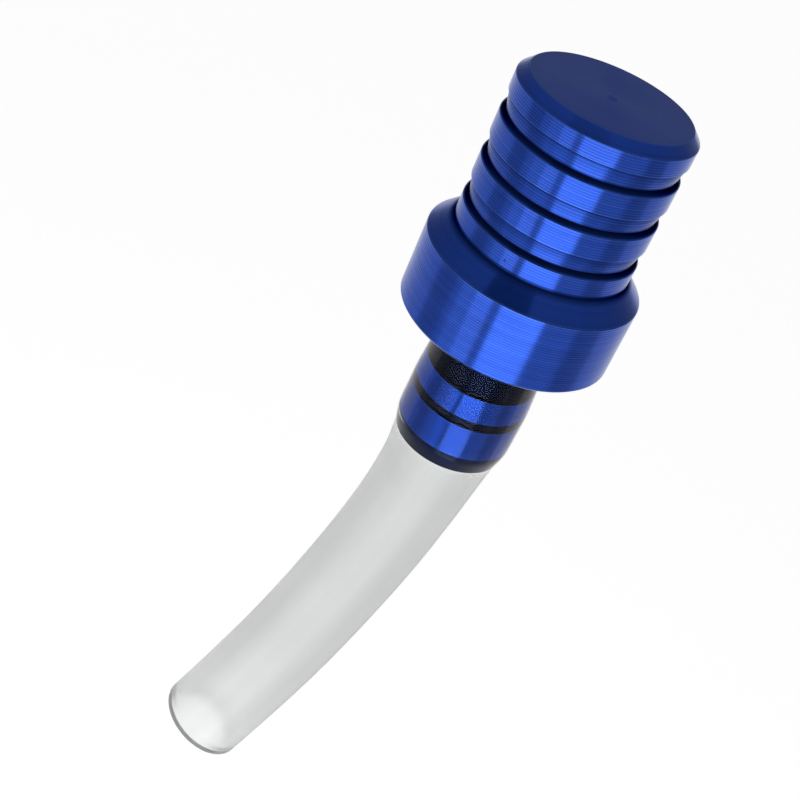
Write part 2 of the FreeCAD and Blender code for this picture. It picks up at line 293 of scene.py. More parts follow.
# %% Run trees on a piece
def run_trees(thing, *steps):
    """Run node trees on an object and keep the mesh that comes out."""
    for tree, sizes in steps:
        modifier = thing.modifiers.new(tree.name, "NODES")
        modifier.node_group = tree
        for item in tree.interface.items_tree:
            if item.in_out == "INPUT" and item.name in sizes:
                modifier[item.identifier] = sizes[item.name]
    mesh = plain_mesh(thing)
    thing.modifiers.clear()
    thing.data = mesh
    mesh.name = thing.name
    mesh.calc_loop_triangles()
    corners = np.array([v.co for v in mesh.vertices])
    triangles = np.array([t.vertices for t in mesh.loop_triangles])
    a, b, c = (corners[triangles[:, i]] for i in range(3))
    volume = np.einsum("ij,ij->i", a, np.cross(b, c)).sum() / 6 / MM**3
    print(f"{thing.name}: {len(triangles)} triangles, {volume:.1f} mm3")
    return thing


def turned_piece(name, corners, material, segments=192, more=()):
    thing = outline_object(name, outline_points(corners))
    sizes = {"Segments": segments, "Axis": AXIS, "Material": material}
    return run_trees(thing, (lathe, sizes), *more)


# %% [markdown]
# ## Finishes
#
# Three effects are shared by several finishes, so each is a node group: the marks of
# the turning tool, the marks of handling, and a soft mottling. They read the object's
# own coordinates, which are the frame's, so a pattern stays on its piece.
#
# A turning tool leaves one fine line after another as it feeds along. On the sides
# the lines follow height, and on a flat face they follow the radius, so the group
# counts both together. It gives the lines' height for a bump, a slow streak of tone
# that changes from one pass of the tool to the next, and the sharp crests alone.

# %% Shared effect: turning marks
VALUE = "NodeSocketFloat"


def noise(tree, **settings):
    return add_node(tree, "ShaderNodeTexNoise", **settings)


def math_node(tree, operation, first=None, second=None):
    """A Math node whose inputs are sockets or numbers."""
    node = tree.nodes.new("ShaderNodeMath")
    node.operation = operation
    for socket, source in zip(node.inputs, (first, second)):
        if isinstance(source, bpy.types.NodeSocket):
            tree.links.new(source, socket)
        elif source is not None:
            socket.default_value = source
    return node.outputs["Value"]


def sized_place(tree, entry):
    """The object's own coordinates, counted in the group's Size in millimetres."""
    place = add_node(tree, "ShaderNodeTexCoord")
    sized = add_node(tree, "ShaderNodeVectorMath", operation="SCALE")
    tree.links.new(place.outputs["Object"], sized.inputs[0])
    scale = math_node(tree, "DIVIDE", 1 / MM, entry.outputs["Size"])
    tree.links.new(scale, sized.inputs["Scale"])
    return sized.outputs["Vector"]


def axis_radius(tree):
    """The height, and the distance from the head's axis, in millimetres."""
    place = add_node(tree, "ShaderNodeTexCoord")
    centred = add_node(tree, "ShaderNodeMapping", vector_type="POINT", Scale=(1 / MM,) * 3)
    centred.inputs["Location"].default_value = -AXIS / MM
    tree.links.new(place.outputs["Object"], centred.inputs["Vector"])
    flat = add_node(tree, "ShaderNodeVectorMath", operation="MULTIPLY")
    flat.inputs[1].default_value = (1, 1, 0)
    tree.links.new(centred.outputs["Vector"], flat.inputs[0])
    length = add_node(tree, "ShaderNodeVectorMath", operation="LENGTH")
    tree.links.new(flat.outputs["Vector"], length.inputs[0])
    split = add_node(tree, "ShaderNodeSeparateXYZ")
    tree.links.new(centred.outputs["Vector"], split.inputs["Vector"])
    return split.outputs["Z"], length.outputs["Value"]


turning, entry, leave = new_tree(
    "turning_marks",
    "ShaderNodeTree",
    [("Feed", VALUE, 0.17), ("Unevenness", VALUE, 0.5)],
    [("Height", VALUE), ("Streak", VALUE), ("Ridge", VALUE)],
)
high, across = axis_radius(turning)
along = math_node(turning, "SUBTRACT", high, math_node(turning, "MULTIPLY", across, 0.8))
turns = math_node(turning, "DIVIDE", along, entry.outputs["Feed"])
ridge = math_node(turning, "SINE", math_node(turning, "MULTIPLY", turns, 2 * math.pi))
chatter = noise(turning, noise_dimensions="1D", Scale=1.0, Detail=3.0)
turning.links.new(turns, chatter.inputs["W"])
streak = noise(turning, noise_dimensions="1D", Scale=0.23, Detail=2.0)
turning.links.new(turns, streak.inputs["W"])
uneven = math_node(turning, "MULTIPLY", chatter.outputs["Fac"], entry.outputs["Unevenness"])
height = math_node(turning, "ADD", math_node(turning, "MULTIPLY", ridge, 0.25), uneven)
crest = math_node(turning, "MULTIPLY", math_node(turning, "ADD", ridge, 1.0), 0.5)
sharp = math_node(turning, "POWER", crest, 1.6)
turning.links.new(
    math_node(turning, "MULTIPLY", sharp, chatter.outputs["Fac"]), leave.inputs["Ridge"]
)
turning.links.new(height, leave.inputs["Height"])
turning.links.new(streak.outputs["Fac"], leave.inputs["Streak"])
print("turning marks:", len(turning.nodes), "nodes")

# %% [markdown]
# Handling leaves soft smudges, where the gloss is a little lower, and a few tiny
# nicks. Smudges are a slow noise. A nick is the close surround of a cell's middle,
# and only some of the cells have one.

# %% Shared effect: handling
handling, entry, leave = new_tree(
    "handling",
    "ShaderNodeTree",
    [("Size", VALUE, 1.0)],
    [("Smudge", VALUE), ("Nick", VALUE)],
)
NICK_RADIUS = 0.05
NICKED = 0.6  # cells whose own random value is above this have a nick

place = sized_place(handling, entry)
smudge = noise(handling, Scale=0.35, Detail=4.0, Roughness=0.6)
handling.links.new(place, smudge.inputs["Vector"])
handling.links.new(smudge.outputs["Fac"], leave.inputs["Smudge"])
nicks = add_node(handling, "ShaderNodeTexVoronoi", Scale=0.8)
handling.links.new(place, nicks.inputs["Vector"])
chosen = add_node(handling, "ShaderNodeSeparateColor")
handling.links.new(nicks.outputs["Color"], chosen.inputs["Color"])
nick = math_node(
    handling,
    "MULTIPLY",
    math_node(handling, "LESS_THAN", nicks.outputs["Distance"], NICK_RADIUS),
    math_node(handling, "GREATER_THAN", chosen.outputs["Red"], NICKED),
)
handling.links.new(nick, leave.inputs["Nick"])
print("handling:", len(handling.nodes), "nodes")

# %% [markdown]
# The third effect is a mottling: a soft change of tone with a fine grain in it.

# %% Shared effect: mottling
mottle, entry, leave = new_tree(
    "mottle",
    "ShaderNodeTree",
    [("Size", VALUE, 1.0), ("Low", VALUE, 0.9), ("High", VALUE, 1.1)],
    [("Tone", VALUE), ("Grain", VALUE)],
)
place = sized_place(mottle, entry)
patch = noise(mottle, Scale=1.0, Detail=3.0)
mottle.links.new(place, patch.inputs["Vector"])
grain = noise(mottle, Scale=14.0, Detail=2.0)
mottle.links.new(place, grain.inputs["Vector"])
spread = add_node(mottle, "ShaderNodeMapRange")
mottle.links.new(patch.outputs["Fac"], spread.inputs["Value"])
mottle.links.new(entry.outputs["Low"], spread.inputs["To Min"])
mottle.links.new(entry.outputs["High"], spread.inputs["To Max"])
mottle.links.new(spread.outputs["Result"], leave.inputs["Tone"])
mottle.links.new(grain.outputs["Fac"], leave.inputs["Grain"])
print("mottling:", len(mottle.nodes), "nodes")


# %% [markdown]
# ### Working with materials
#
# A finish is a chain of small steps: read a value, spread it over a range, mix two
# colours by it. A few helpers make each step one line.

# %% Helpers for materials
def new_material(name):
    material = bpy.data.materials.new(name)
    material.use_nodes = True
    tree = material.node_tree
    return material, tree, tree.nodes["Principled BSDF"]


def use_group(tree, group, **values):
    node = tree.nodes.new("ShaderNodeGroup")
    node.node_tree = group
    for name, value in values.items():
        node.inputs[name].default_value = value
    return node


def map_range(tree, source, low, high, to_low, to_high):
    node = add_node(tree, "ShaderNodeMapRange")
    tree.links.new(source, node.inputs["Value"])
    for name, value in (
        ("From Min", low), ("From Max", high), ("To Min", to_low), ("To Max", to_high)
    ):
        node.inputs[name].default_value = value
    return node.outputs["Result"]


def mix_colour(tree, factor, first, second, kind="MIX"):
    """Mix two colours, each a socket or a plain colour, by a socket or a number."""
    node = add_node(tree, "ShaderNodeMix", data_type="RGBA", blend_type=kind)
    sources = ((node.inputs[0], factor), (node.inputs[6], first), (node.inputs[7], second))
    for socket, source in sources:
        if isinstance(source, bpy.types.NodeSocket):
            tree.links.new(source, socket)
        else:
            socket.default_value = source
    return node.outputs[2]


def grey(value):
    return (value, value, value, 1.0)


def bump(tree, bsdf, height, distance):
    """Feed a height, in metres for each unit of it, to the shader's normal."""
    node = add_node(tree, "ShaderNodeBump", Distance=distance)
    tree.links.new(height, node.inputs["Height"])
    tree.links.new(node.outputs["Normal"], bsdf.inputs["Normal"])


print("helpers for materials ready")

# %% [markdown]
# ### Blue anodised aluminium
#
# The metal is turned, then its skin is grown into a clear oxide, dyed blue and
# sealed. A plain blue paint would look dull, so it is a metal with a deep blue tint.
# The tool's lines spread light along the axis, and that is what the anisotropy says.
# Only the crests of the lines carry a clear coat, so they glint pale where a lamp is
# mirrored. The dye is thinner on worn edges. In the grooves, which the outlines mark,
# shade is painted in: the colour and the rim tint go nearly black, and the coat goes.
# A flat face is turned much finer than a side, so its lines all but vanish.

# %% Anodised finish
RIM_TINT = (0.75, 0.8, 0.95, 1)
EDGE_BLUE = (0.03, 0.09, 0.38, 1)
# Painted shade: the colour and the rim tint that the grooves and the neck are painted.
PAINTED_SHADE = (0.001, 0.002, 0.006, 1)
PAINTED_SHADE_RIM = (0.02, 0.02, 0.04, 1)
NICK_BLUE = (0.004, 0.012, 0.06, 1)
BARE_COAT = 0.02  # the coat's weight between the crests
FLAT_SHARE = 0.15  # how much of its lines a flat face keeps


def anodised(name, tint, feed, mark_depth, ridge_tone, coat_on_ridges):
    """Blue metal, its lines a feed apart in millimetres and a mark deep in metres."""
    material, tree, bsdf = new_material(name)
    bsdf.inputs["Metallic"].default_value = 1.0
    bsdf.inputs["Anisotropic"].default_value = 0.9
    bsdf.inputs["Anisotropic Rotation"].default_value = 0.25
    bsdf.inputs["Coat Roughness"].default_value = 0.15
    bsdf.inputs["Coat IOR"].default_value = 1.5
    marks = use_group(tree, turning, Feed=feed)
    touch = use_group(tree, handling, Size=1.6)
    tone = use_group(tree, mottle, Size=2.4, Low=0.9, High=1.08)
    edge = add_node(tree, "ShaderNodeAttribute", attribute_name="edge")
    colour = mix_colour(tree, 1.0, tint, tone.outputs["Tone"], "MULTIPLY")
    streaks = map_range(tree, marks.outputs["Streak"], 0.3, 0.7, 0.93, 1.07)
    colour = mix_colour(tree, 1.0, colour, streaks, "MULTIPLY")
    ridges = map_range(tree, marks.outputs["Ridge"], 0.0, 0.6, 1 - ridge_tone, 1 + ridge_tone)
    facing = add_node(tree, "ShaderNodeNewGeometry")
    upright = add_node(tree, "ShaderNodeSeparateXYZ")
    tree.links.new(facing.outputs["True Normal"], upright.inputs["Vector"])
    is_side = map_range(tree, upright.outputs["Z"], 0.6, 0.95, 1.0, FLAT_SHARE)
    lined = mix_colour(tree, 1.0, colour, ridges, "MULTIPLY")
    colour = mix_colour(tree, is_side, colour, lined)
    worn = math_node(tree, "MULTIPLY", edge.outputs["Fac"], tone.outputs["Grain"])
    colour = mix_colour(tree, worn, colour, EDGE_BLUE)
    # Painted shade: where the outlines mark grooves and the neck, the colour and the rim tint are
    # painted nearly black, the coat is taken away and the gloss is lowered.
    recess = add_node(tree, "ShaderNodeAttribute", attribute_name="recess")
    colour = mix_colour(tree, recess.outputs["Fac"], colour, PAINTED_SHADE)
    rim_tint_and_painted_shade = mix_colour(tree, recess.outputs["Fac"], RIM_TINT, PAINTED_SHADE_RIM)
    tree.links.new(rim_tint_and_painted_shade, bsdf.inputs["Specular Tint"])
    colour = mix_colour(tree, touch.outputs["Nick"], colour, NICK_BLUE)
    tree.links.new(colour, bsdf.inputs["Base Color"])
    gloss = map_range(tree, touch.outputs["Smudge"], 0.35, 0.75, 0.19, 0.26)
    dulled = math_node(
        tree, "ADD", gloss, math_node(tree, "MULTIPLY", recess.outputs["Fac"], 0.15)
    )
    tree.links.new(dulled, bsdf.inputs["Roughness"])
    glassy = map_range(tree, marks.outputs["Ridge"], 0.0, 0.6, BARE_COAT, coat_on_ridges)
    glassy = math_node(tree, "MULTIPLY", glassy, is_side)
    coat_outside_painted_shade = map_range(tree, recess.outputs["Fac"], 0.0, 0.8, 1.0, 0.0)
    tree.links.new(math_node(tree, "MULTIPLY", glassy, coat_outside_painted_shade), bsdf.inputs["Coat Weight"])
    lines = math_node(tree, "MULTIPLY", marks.outputs["Height"], is_side)
    bump(tree, bsdf, lines, mark_depth)
    return material


HEAD_BLUE = (0.012, 0.052, 0.34, 1)
STEM_BLUE = (0.008, 0.042, 0.30, 1)
head_finish = anodised(
    "anodised_blue_head",
    HEAD_BLUE,
    feed=0.2,
    mark_depth=8e-6,
    ridge_tone=0.07,
    coat_on_ridges=0.45,
)
stem_finish = anodised(
    "anodised_blue_stem",
    STEM_BLUE,
    feed=0.22,
    mark_depth=2e-6,
    ridge_tone=0.06,
    coat_on_ridges=0.04,
)
print("anodised finishes ready")

# %% [markdown]
# ### Clear hose
#
# The hose is soft clear vinyl with fine lines along it from the die that it was drawn
# through. It is a shader that lets light through. Where the hose hugs the barb it is
# clear, and past the barb a milky bloom blurs what is behind it: the mesh carries how
# cloudy each ring is, in the value that carries painted shade on the metal pieces. The
# lines must follow the hose round its bend, so they read another value of the mesh:
# where each point lay while the hose was still straight.

# %% Hose finish
CLEAR_VINYL = (0.97, 0.98, 0.98, 1)
MILKY_VINYL = (0.93, 0.94, 0.935, 1)
ACROSS_HOSE = 0.8 / MM  # how fast the die lines change round the hose
ALONG_HOSE = 0.02 / MM  # and along it

hose_finish, tree, bsdf = new_material("clear_vinyl")
bsdf.inputs["Transmission Weight"].default_value = 1.0
bsdf.inputs["IOR"].default_value = 1.5
bsdf.inputs["Specular Tint"].default_value = grey(0.1)
laid = add_node(tree, "ShaderNodeAttribute", attribute_name="straight_place")
drawn = add_node(tree, "ShaderNodeMapping", Scale=(ACROSS_HOSE, ACROSS_HOSE, ALONG_HOSE))
tree.links.new(laid.outputs["Vector"], drawn.inputs["Vector"])
die_lines = noise(tree, Scale=1.0, Detail=3.0, Roughness=0.55)
tree.links.new(drawn.outputs["Vector"], die_lines.inputs["Vector"])
cloud = use_group(tree, mottle, Size=3.5, Low=0.93, High=1.0)
milky = add_node(tree, "ShaderNodeAttribute", attribute_name="recess")
clear = mix_colour(tree, milky.outputs["Fac"], CLEAR_VINYL, MILKY_VINYL)
body = mix_colour(tree, 1.0, clear, cloud.outputs["Tone"], "MULTIPLY")
stripes = map_range(tree, die_lines.outputs["Fac"], 0.35, 0.65, 0.93, 1.0)
striped = mix_colour(tree, 1.0, body, stripes, "MULTIPLY")
body = mix_colour(tree, milky.outputs["Fac"], body, striped)
tree.links.new(body, bsdf.inputs["Base Color"])
bloom = map_range(tree, die_lines.outputs["Fac"], 0.3, 0.7, 0.33, 0.39)
tree.links.new(
    math_node(tree, "MULTIPLY", milky.outputs["Fac"], bloom), bsdf.inputs["Roughness"]
)
bump(tree, bsdf, die_lines.outputs["Fac"], 1.5e-5)
print("hose finish ready")


# %% [markdown]
# ### The inner pieces
#
# Brass, rubber, steel and foam: sealed inside, and seen only when the valve is taken
# apart, but each has its own finish. Turned brass shares the turning marks. Rubber is
# a dull black with a bloom. The foam's colour and bump come from its open cells.

# %% Inner finishes
def metal(name, colour, roughness, feed=0.12, mark_depth=1.5e-6):
    material, tree, bsdf = new_material(name)
    bsdf.inputs["Metallic"].default_value = 1.0
    marks = use_group(tree, turning, Feed=feed)
    touch = use_group(tree, handling, Size=1.0)
    tone = use_group(tree, mottle, Size=1.2, Low=0.92, High=1.05)
    shade = mix_colour(tree, 1.0, colour, tone.outputs["Tone"], "MULTIPLY")
    tree.links.new(shade, bsdf.inputs["Base Color"])
    gloss = map_range(tree, touch.outputs["Smudge"], 0.3, 0.8, roughness, roughness + 0.12)
    tree.links.new(gloss, bsdf.inputs["Roughness"])
    bump(tree, bsdf, marks.outputs["Height"], mark_depth)
    return material


def rubber(name):
    material, tree, bsdf = new_material(name)
    tone = use_group(tree, mottle, Size=0.8, Low=0.7, High=1.3)
    shade = mix_colour(tree, 1.0, (0.018, 0.018, 0.02, 1), tone.outputs["Tone"], "MULTIPLY")
    tree.links.new(shade, bsdf.inputs["Base Color"])
    tree.links.new(
        map_range(tree, tone.outputs["Grain"], 0.3, 0.7, 0.45, 0.62), bsdf.inputs["Roughness"]
    )
    bump(tree, bsdf, tone.outputs["Grain"], 6e-6)
    return material


def open_foam(name):
    material, tree, bsdf = new_material(name)
    place = add_node(tree, "ShaderNodeTexCoord")
    cells = add_node(tree, "ShaderNodeTexVoronoi", Scale=2.2 / MM)
    tree.links.new(place.outputs["Object"], cells.inputs["Vector"])
    shade = mix_colour(
        tree, cells.outputs["Distance"], (0.05, 0.05, 0.055, 1), (0.012, 0.012, 0.014, 1)
    )
    tree.links.new(shade, bsdf.inputs["Base Color"])
    bsdf.inputs["Roughness"].default_value = 0.9
    bump(tree, bsdf, cells.outputs["Distance"], 1.2e-4)
    return material


seat_finish = metal("turned_brass", (0.78, 0.56, 0.24, 1), 0.2)
ball_finish = metal("polished_steel", (0.62, 0.62, 0.63, 1), 0.08, mark_depth=1e-7)
spring_finish = metal("spring_steel", (0.5, 0.5, 0.52, 1), 0.2, mark_depth=1e-7)
rubber_finish = rubber("black_rubber")
foam_finish = open_foam("open_cell_foam")
print("inner finishes ready")

# %% [markdown]
# ## The hose
#
# A tube could be a curve with a bevel, but a real hose has a wall, and this one is
# stretched over the barb. So its wall is an outline for the lathe: a straight hose
# with the right swell, its radius a smooth line through a few gauged places. A second
# tree then lays the straight hose along its middle line.

# %% The tree that lays a piece along a line
laying, entry, leave = new_tree(
    "lay_along_line",
    "GeometryNodeTree",
    [
        ("Piece", GEOMETRY, None),
        ("Line", "NodeSocketObject", None),
        ("Material", "NodeSocketMaterial", None),
    ],
    [("Piece", GEOMETRY)],
)
store = add_node(
    laying, "GeometryNodeStoreNamedAttribute", data_type="FLOAT_VECTOR", Name="straight_place"
)
where = add_node(laying, "GeometryNodeInputPosition")
parts = add_node(laying, "ShaderNodeSeparateXYZ")
source = add_node(laying, "GeometryNodeObjectInfo")
line_curve = add_node(laying, "GeometryNodeMeshToCurve")
sample = add_node(laying, "GeometryNodeSampleCurve", mode="LENGTH", data_type="FLOAT")
side = add_node(laying, "ShaderNodeVectorMath", operation="CROSS_PRODUCT")
first_way = add_node(laying, "ShaderNodeVectorMath", operation="SCALE")
second_way = add_node(laying, "ShaderNodeVectorMath", operation="SCALE")
out_way = add_node(laying, "ShaderNodeVectorMath", operation="ADD")
spot = add_node(laying, "ShaderNodeVectorMath", operation="ADD")
moved = add_node(laying, "GeometryNodeSetPosition")

link = laying.links.new
link(entry.outputs["Piece"], store.inputs["Geometry"])
link(where.outputs["Position"], store.inputs["Value"])
link(where.outputs["Position"], parts.inputs["Vector"])
link(entry.outputs["Line"], source.inputs["Object"])
link(source.outputs["Geometry"], line_curve.inputs["Mesh"])
link(line_curve.outputs["Curve"], sample.inputs["Curves"])
link(math_node(laying, "MULTIPLY", parts.outputs["Z"], -1.0), sample.inputs["Length"])
link(sample.outputs["Normal"], side.inputs[0])
link(sample.outputs["Tangent"], side.inputs[1])
link(sample.outputs["Normal"], first_way.inputs[0])
link(parts.outputs["X"], first_way.inputs["Scale"])
link(side.outputs["Vector"], second_way.inputs[0])
link(parts.outputs["Y"], second_way.inputs["Scale"])
link(first_way.outputs["Vector"], out_way.inputs[0])
link(second_way.outputs["Vector"], out_way.inputs[1])
link(sample.outputs["Position"], spot.inputs[0])
link(out_way.outputs["Vector"], spot.inputs[1])
link(store.outputs["Geometry"], moved.inputs["Geometry"])
link(spot.outputs["Vector"], moved.inputs["Position"])
finish_tree(laying, moved.outputs["Geometry"], entry, leave)

# %% [markdown]
# The gauged places run down the hose, each a distance from its top end and a radius,
# in millimetres: first the outside, then the bore, which hugs the neck and dips into
# the barb's groove. A smooth line goes through them without overshoot, as a stretched
# rubber wall does. The cloudiness starts just past the barb's nose.

# %% Gauged places
HOSE_OUTSIDE = [(0, 4.35), (4.8, 4.65), (7.0, 4.78), (10.0, 4.78), (12.2, 4.4), (16, 4.1), (21, 4)]
HOSE_BORE = [
    (0, 3.5), (1.0, 3.25), (4.7, 3.25), (5.3, 3.7), (6.5, 3.85), (6.8, 3.58),
    (7.55, 3.58), (7.85, 3.93), (10.3, 3.93), (11.9, 3.28), (12.8, 3.2), (17, 3),
]
CLOUDY_AT = (11.4, 12.1, 38.0, 47.0)
CLOUDINESS = (0.0, 1.0, 1.0, 0.85)
HOSE_STEP = 0.25  # millimetres between the rings of the hose
CUT_EDGE = 0.06  # how far the cut ends' edges are rounded


def smooth_line(places, at):
    """A smooth line through the places that never overshoots them."""
    x, y = (np.array(column, float) for column in zip(*places))
    slope = np.diff(y) / np.diff(x)
    lean = np.zeros(len(x))
    same = slope[:-1] * slope[1:] > 0
    mean = 2 * slope[:-1] * slope[1:] / np.where(same, slope[:-1] + slope[1:], 1)
    lean[1:-1] = np.where(same, mean, 0)
    at = np.clip(at, x[0], x[-1])
    i = np.clip(np.searchsorted(x, at, side="right") - 1, 0, len(slope) - 1)
    span = x[i + 1] - x[i]
    t = (at - x[i]) / span
    rise = (3 * t**2 - 2 * t**3) * (y[i + 1] - y[i])
    return y[i] + rise + span * (t * (1 - t) ** 2 * lean[i] - t**2 * (1 - t) * lean[i + 1])


hose_mm = hose_length / MM
stations = np.linspace(0, hose_mm, round(hose_mm / HOSE_STEP) + 1)
outside = smooth_line(HOSE_OUTSIDE, stations)
bore = smooth_line(HOSE_BORE, stations)
cloudy = np.interp(stations, CLOUDY_AT, CLOUDINESS)
wall = [(rad, -at, 0.0, 0.0, milk) for rad, at, milk in zip(outside, stations, cloudy)]
wall += [(rad, -at, 0.0, 0.0, milk) for rad, at, milk in zip(bore, stations, cloudy)][::-1]
for end in (0, len(stations) - 1, len(stations), 2 * len(stations) - 1):
    wall[end] = (*wall[end][:2], CUT_EDGE, 1.0, wall[end][4])
print("hose wall at the open end", round(outside[-1] - bore[-1], 2), "mm")

# %% [markdown]
# Now the wall is turned and laid along the line. The hose hangs from the barb, with a
# bare end, and is fixed to the housing in place of the CAD hose, which is hidden.

# %% The hose itself
line_object = bpy.data.objects.new("hose_line", line_mesh)
bpy.context.collection.objects.link(line_object)
hose = run_trees(
    outline_object("hose", wall),
    (lathe, {"Segments": 112, "Material": hose_finish}),
    (laying, {"Line": line_object, "Material": hose_finish}),
)
bpy.data.objects.remove(line_object)
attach(hose, "housing")
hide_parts("vent_hose")

# %% [markdown]
# ## The head
#
# One piece of bar, turned: a flat top with a tiny pip where it was parted off, three
# saw-toothed grip grooves, a flare and a skirt that keeps rain off the air holes. It
# is bored out from below. Each corner is a radius, a height and an edge break, and a
# fourth number says how much painted shade it carries.

# %% Head
FINE, SMALL, SOFT = 0.03, 0.06, 0.12  # edge breaks, in millimetres
TOP = 68.4
HEAD_RAD = 6.88
EDGE_CHAMFER = 0.72
PIP_RAD = 0.45
PIP_TOP_RAD = 0.36
PIP_HIGH = 0.06
GROOVES = 3
GROOVE_GAP = 2.06
GROOVE_PITCH = 3.45
GROOVE_STEP = 0.1
GROOVE_DEEP = 0.36
GROOVE_HIGH = 1.64
FLARE_TOP = 56.26
SKIRT_RAD = 8.45
SKIRT_LOW = 48.87
SKIRT_EDGE = 0.22
THREAD_RAD = 6.7
THREAD_TOP = 53.9
CHAMBER_RAD = 5.4
CHAMBER_TOP = 64.0

# The grooves carry painted shade: the fourth number of a corner paints each groove's ledge and
# bottom nearly black, and its top edge a little.
ledge = 0.12  # how far in from a crest the groove's shade begins
out_of_shade = 0.16  # how far above its bottom the groove's shade ends
grip = []
for i in reversed(range(GROOVES)):
    crest = TOP - GROOVE_GAP - GROOVE_PITCH * i
    foot = crest - GROOVE_HIGH
    bottom_rad = HEAD_RAD - GROOVE_DEEP
    grip += [
        (HEAD_RAD, foot, SMALL),
        (HEAD_RAD - ledge, foot + ledge, 0, 0.7),
        (bottom_rad, foot + GROOVE_DEEP, FINE, 0.9),
        (bottom_rad + 0.04, foot + GROOVE_DEEP + out_of_shade, 0),
        (HEAD_RAD - GROOVE_STEP, crest - GROOVE_STEP, FINE, 0.35),
        (HEAD_RAD, crest, SMALL),
    ]
# The flare's root carries painted shade too, fading down the flare and up the wall.
flare_shade = 0.45  # how far down the flare its shaded root reaches
wall_shade = 0.34  # and how far up the wall above it
head_outline = [
    (0, CHAMBER_TOP, 0),
    (CHAMBER_RAD, CHAMBER_TOP, 0),
    (CHAMBER_RAD, THREAD_TOP, 0),
    (THREAD_RAD, THREAD_TOP, 0),
    (THREAD_RAD, SKIRT_LOW, FINE),
    (SKIRT_RAD - SKIRT_EDGE, SKIRT_LOW, SMALL),
    (SKIRT_RAD, SKIRT_LOW + SKIRT_EDGE, SMALL),
    (SKIRT_RAD, FLARE_TOP + HEAD_RAD - SKIRT_RAD, SOFT),
    (HEAD_RAD + flare_shade, FLARE_TOP - flare_shade, 0),
    (HEAD_RAD, FLARE_TOP, SOFT, 0.8),
    (HEAD_RAD, FLARE_TOP + wall_shade, 0),
    *grip,
    (HEAD_RAD, TOP - EDGE_CHAMFER, SMALL),
    (HEAD_RAD - EDGE_CHAMFER, TOP, SMALL),
    (PIP_RAD, TOP, FINE),
    (PIP_TOP_RAD, TOP + PIP_HIGH, FINE),
    (0, TOP + PIP_HIGH, 0),
]
head = turned_piece("head", head_outline, head_finish, segments=256)
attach(head, "housing")
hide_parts("vent_head")

# %% [markdown]
# ## The stem
#
# The stem screws up into the head. Below the flange it has a short neck and a barb
# with one groove, which the hose grips. Above it is the tube that holds the valve.
# Four air holes are drilled through the flange. The holes could be cut one by one. A
# tree is chosen, because their number and places are then inputs: it sets a cylinder
# on each point of a circle and cuts them all away at once.

# %% The tree that drills a ring of holes
AIR_HOLES = 4
AIR_HOLE_RAD = 0.65
AIR_HOLE_AT = 4.75
AIR_HOLE_DEPTH = 8

drilling, entry, leave = new_tree(
    "drill_ring",
    "GeometryNodeTree",
    [
        ("Piece", GEOMETRY, None),
        ("Holes", "NodeSocketInt", AIR_HOLES),
        ("Hole Radius", VALUE, AIR_HOLE_RAD * MM),
        ("Ring Radius", VALUE, AIR_HOLE_AT * MM),
        ("Depth", VALUE, AIR_HOLE_DEPTH * MM),
        ("Middle", "NodeSocketVector", None),
        ("Material", "NodeSocketMaterial", None),
    ],
    [("Piece", GEOMETRY)],
)
ring = add_node(drilling, "GeometryNodeMeshCircle")
drill = add_node(drilling, "GeometryNodeMeshCylinder", Vertices=40)
at_points = add_node(drilling, "GeometryNodeInstanceOnPoints")
drills = add_node(drilling, "GeometryNodeRealizeInstances")
centred = add_node(drilling, "GeometryNodeTransform")
cut = add_node(drilling, "GeometryNodeMeshBoolean", operation="DIFFERENCE", solver="EXACT")
link = drilling.links.new
link(entry.outputs["Holes"], ring.inputs["Vertices"])
link(entry.outputs["Ring Radius"], ring.inputs["Radius"])
link(entry.outputs["Hole Radius"], drill.inputs["Radius"])
link(entry.outputs["Depth"], drill.inputs["Depth"])
link(ring.outputs["Mesh"], at_points.inputs["Points"])
link(drill.outputs["Mesh"], at_points.inputs["Instance"])
link(at_points.outputs["Instances"], drills.inputs["Geometry"])
link(drills.outputs["Geometry"], centred.inputs["Geometry"])
link(entry.outputs["Middle"], centred.inputs["Translation"])
link(entry.outputs["Piece"], cut.inputs["Mesh 1"])
link(centred.outputs["Geometry"], cut.inputs["Mesh 2"])
finish_tree(drilling, cut.outputs["Mesh"], entry, leave)

# %% [markdown]
# The stem's outline starts at the nose of the barb, goes up its outside to the top of
# the valve tube and comes back down the inside.

# %% Stem
DUCT_RAD = 1.6
NOSE_LOW = 37.1
NOSE_RAD = 3.4
BARB_RAD = 4.05
BARB_EDGE = 38.7
BARB_GROOVE_RAD = 3.65
BARB_GROOVE_LOW = 41.45
BARB_GROOVE_TOP = 42.2
SHOULDER = 44.2
SHOULDER_RAD = 3.85
NECK_RAD = 3.35
FLANGE_RAD = 6.68
FLANGE_LOW = 49.4
FLANGE_TOP = 53.88
RING_IN_RAD, RING_OUT_RAD = 5.65, 6.45  # the groove for the rubber ring
RING_LOW = FLANGE_TOP - 0.8
TOWER_RAD = 3.5
TOWER_TOP = 60.5
POCKET_RAD = 2.9
POCKET_LOW = 58.0
CAGE_RAD = 2.2
CAGE_LOW = 52.0
DRILL_MIDDLE = 51.6
